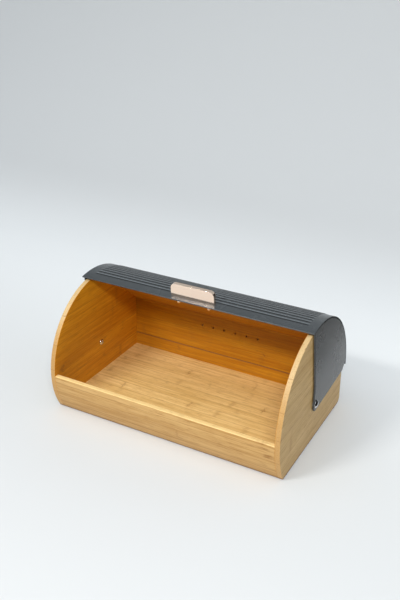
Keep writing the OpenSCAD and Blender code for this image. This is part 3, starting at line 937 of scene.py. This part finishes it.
class BREADBOX_OT_handle(bpy.types.Operator):
    """Build the copper cup pull and the cap nuts and washers that hold it from inside the lid"""
    bl_idname = "breadbox.handle"
    bl_label = "Handle"

    def execute(self, context):
        fittings = context.scene.bread_fittings
        copper = metal("Copper Plate", fittings.copper, 0.15)
        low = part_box("handle")[0].z + 8 * MM  # what lies lower is hidden, and stays sharp
        piece = eased_copy("handle", "cup_pull", copper, fittings.edge,
                           lambda e: e.verts[0].co.z > low and e.calc_length() > 0.5 * MM)
        settle(piece, LID, "copper", "handle")
        for node, name in (("handle_cap_nuts", "cap_nuts"), ("handle_washers", "stud_washers")):
            piece = eased_copy(node, name, copper, fittings.nut_edge, lambda e: True, 2)
            settle(piece, LID, "copper", node)
        return {"FINISHED"}


def mirrored_pair(name, mesh, material):
    """The mesh, drawn about the x axis for the right-hand side, on both sides of the hinge axis."""
    return row_of(name, mesh, material, start=(0.0, AXIS.y, AXIS.z), turn=(0.0, 0.0, math.pi))


class BREADBOX_OT_hinges(bpy.types.Operator):
    """Build the hinge bolts, their spacers and their nuts"""
    bl_idname = "breadbox.hinges"
    bl_label = "Hinge Hardware"

    def execute(self, context):
        fittings = context.scene.bread_fittings
        polished = metal("Chrome", fittings.chrome, 0.10)
        low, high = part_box("hinge_bolts")
        head, top = (high.z - low.z) / 2, high.x
        seat = LID_HALF + 0.1 * MM  # where a head's flat side lies
        inner = INNER_HALF - 1.2 * MM  # where a shank ends, inside its nut
        shank, rim = 2.5 * MM, 0.35 * MM
        drop = top - seat - 2 * rim
        ball = (head ** 2 + drop ** 2) / (2 * drop)
        dome = arc(top - ball, 0.0, ball, math.asin(head / ball), 0.0, 14)
        profile = [(inner, 0), (inner, shank), (seat, shank), (seat, head - rim), (seat + rim, head),
                   (seat + 2 * rim, head - 0.05 * MM), *dome[1:-1], (top, 0)]
        bolts = mirrored_pair("bolts", lathe("bolts", profile, 64), polished)
        settle(bolts, BASE, "chrome", "hinge_bolts")

        low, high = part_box("hinge_spacers")
        outer, ease = (high.z - low.z) / 2, 0.3 * MM
        ring = [(BODY_HALF, shank), (BODY_HALF, outer - ease), (BODY_HALF + ease, outer),
                (high.x - ease, outer), (high.x, outer - ease), (high.x, shank)]
        nylon = moulded("Nylon", fittings.nylon, 0.45, 0.0006)
        spacers = mirrored_pair("spacers", lathe("spacers", ring), nylon)
        settle(spacers, BASE, "nylon", "hinge_spacers")

        nuts = eased_copy("hinge_nuts", "slotted_nuts", polished, fittings.nut_edge,
                          lambda e: e.calc_length() > 0.3 * MM, 2)
        settle(nuts, BASE, "chrome", "hinge_nuts")
        return {"FINISHED"}


# -------------------------------- stage
def add_lamp(name, azimuth, elevation, distance, size, power):
    """A warm rectangular lamp that looks at the box. Its angles are in degrees, its size is
    (width, height)."""
    data = bpy.data.lights.new(name, "AREA")
    data.shape = "RECTANGLE"
    data.size, data.size_y = size
    data.energy = power
    data.color = (1.0, 0.975, 0.94)
    lamp = bpy.data.objects.new(name, data)
    lamp.matrix_world = looking(math.radians(azimuth), math.radians(elevation), 0.0)
    lamp.location = Vector((0.0, 0.0, 0.1)) + lamp.matrix_world.col[2].xyz * distance
    bpy.context.scene.collection.objects.link(lamp)


def looking(azimuth, elevation, tilt):
    """A turn that looks back at the box from this far to its right and this far above."""
    back = Vector((math.sin(azimuth) * math.cos(elevation), -math.cos(azimuth) * math.cos(elevation),
                   math.sin(elevation)))
    right = Vector((math.cos(azimuth), math.sin(azimuth), 0.0))
    up = back.cross(right)
    right, up = (math.cos(tilt) * right + math.sin(tilt) * up,
                 math.cos(tilt) * up - math.sin(tilt) * right)
    return Matrix((right, up, back)).transposed().to_4x4()


def soft_room(stage):
    """Weak even light from all round and a soft patch of sky above the front. The camera and what
    shines or lets light through see a pale room near the horizon."""
    world = bpy.data.worlds.new("Soft Room")
    world.use_nodes = True
    n = Nodes(world.node_tree)
    way = n.make("ShaderNodeTexCoord", output="Generated")
    above = n.math("MAXIMUM", n.vector("DOT_PRODUCT", way, (0.0, -0.45, 0.893), output=1), 0.0)
    total = n.math("POWER", above, 4.0) * stage.sky_top + stage.sky
    path = n.outputs(n.add("ShaderNodeLightPath"))
    seen = path["Is Camera Ray"] + path["Is Glossy Ray"]
    seen = n.math("ADD", seen, path["Is Transmission Ray"], clamp=True)
    low = n.remap(n.separate(way)[2], 0.2, 0.6, 0.62, 0.0)
    n.fill(world.node_tree.nodes["Background"].inputs, {
        "Color": (0.94, 0.97, 1.0, 1.0), "Strength": n.math("MAXIMUM", total, seen * low)})
    return world


def strip_mesh(name, edges):
    """An open strip of faces from each edge, a pair of points, to the next."""
    bm = bmesh.new()
    pairs = [[bm.verts.new(spot) for spot in edge] for edge in edges]
    for a, b in zip(pairs, pairs[1:]):
        bm.faces.new([a[0], a[1], b[1], b[0]])
    return made_mesh(bm, name)


def sweep_mesh():
    """A floor that curves up into a backdrop."""
    front, bend, back, wide, steps = -3.0, 0.9, 1.4, 4.0, 24
    turns = [QUARTER * k / steps for k in range(1, steps + 1)]
    curve = [(back - bend + bend * math.sin(a), bend - bend * math.cos(a)) for a in turns]
    line = [(front, 0.0), (back - bend, 0.0), *curve, (back, 3.5)]
    return strip_mesh("studio_sweep", [((-wide, y, z), (wide, y, z)) for y, z in line])


def card_mesh():
    """An upright card close to the right side."""
    side, front, back, top = 0.275, -0.1, 0.7, 0.35
    return strip_mesh("dark_card", [((side, front, z), (side, back, z)) for z in (0.0, top)])


class BREADBOX_OT_stage(bpy.types.Operator):
    """Set up the floor, the backdrop, the soft lights and the camera"""
    bl_idname = "breadbox.stage"
    bl_label = "Stage"

    def execute(self, context):
        stage = context.scene.bread_stage
        sweep = add_object("studio_sweep", sweep_mesh())
        paper, n, shader = new_material("Studio Paper")
        _, y, z = n.separate(n.place())
        # Painted shade: the paper is darker at the front and towards the far floor and backdrop.
        tint = n.mix(n.remap(y, -0.1, 0.35), rgba(stage.floor, stage.near), rgba(stage.floor))
        tint = n.mix(n.remap(y + z, 0.4, 0.9), tint, rgba(stage.floor, 1.0 - stage.fade))
        n.fill(shader.inputs, {"Base Color": tint, "Roughness": 0.9})
        sweep.data.materials.append(paper)
        key = (2.2, (0.5, 0.16))  # distance and size of each part of the key
        add_lamp("key_left", -24.0, 40.7, *key, stage.key_left)
        add_lamp("key_middle", 4.0, 43.0, *key, stage.key_middle)
        add_lamp("key_right", 30.0, 39.2, *key, stage.key_right)
        add_lamp("fill", 112.0, 14.0, 0.85, (0.4, 0.2), stage.fill)
        card = add_object("dark_card", card_mesh())
        black, n, shader = new_material("Dark Card")
        n.put(shader.inputs["Base Color"], (0.01, 0.01, 0.01, 1.0))
        card.data.materials.append(black)
        card.visible_camera = card.visible_diffuse = card.visible_shadow = False
        context.scene.world = soft_room(stage)
        data = bpy.data.cameras.new("camera")
        data.lens = stage.focal
        data.sensor_width = 36.0
        data.shift_x, data.shift_y = stage.shift
        camera = bpy.data.objects.new("camera", data)
        camera.matrix_world = looking(stage.azimuth, stage.elevation, stage.tilt)
        camera.location = stage.place
        context.scene.collection.objects.link(camera)
        context.scene.camera = camera
        context.scene.view_settings.view_transform = "Standard"
        return {"FINISHED"}


class BREADBOX_PT_panel(bpy.types.Panel):
    """The bread box's pieces, in the order they are built"""
    bl_idname = "BREADBOX_PT_panel"
    bl_label = "Roll-Top Bread Box"
    bl_space_type = "VIEW_3D"
    bl_region_type = "UI"
    bl_category = "Bread Box"

    def draw(self, context):
        for group in GROUPS:
            settings = getattr(context.scene, group)
            box = self.layout.box()
            for name in settings.bl_rna.properties.keys():
                if name not in ("name", "rna_type"):
                    box.prop(settings, name)
        for operator in OPERATORS:
            self.layout.operator(operator.bl_idname)


OPERATORS = (BREADBOX_OT_boards, BREADBOX_OT_dowels, BREADBOX_OT_feet, BREADBOX_OT_lid_sheet,
             BREADBOX_OT_lid_cheeks, BREADBOX_OT_handle, BREADBOX_OT_hinges, BREADBOX_OT_stage)
CLASSES = (*GROUPS.values(), *OPERATORS, BREADBOX_PT_panel)


def register():
    for cls in CLASSES:
        bpy.utils.register_class(cls)
    for name, cls in GROUPS.items():
        setattr(bpy.types.Scene, name, PointerProperty(type=cls))


def unregister():
    for name in GROUPS:
        delattr(bpy.types.Scene, name)
    for cls in reversed(CLASSES):
        bpy.utils.unregister_class(cls)


def main():
    register()
    for operator in OPERATORS:
        family, name = operator.bl_idname.split(".")
        getattr(getattr(bpy.ops, family), name)()


if __name__ == "__main__":
    main()
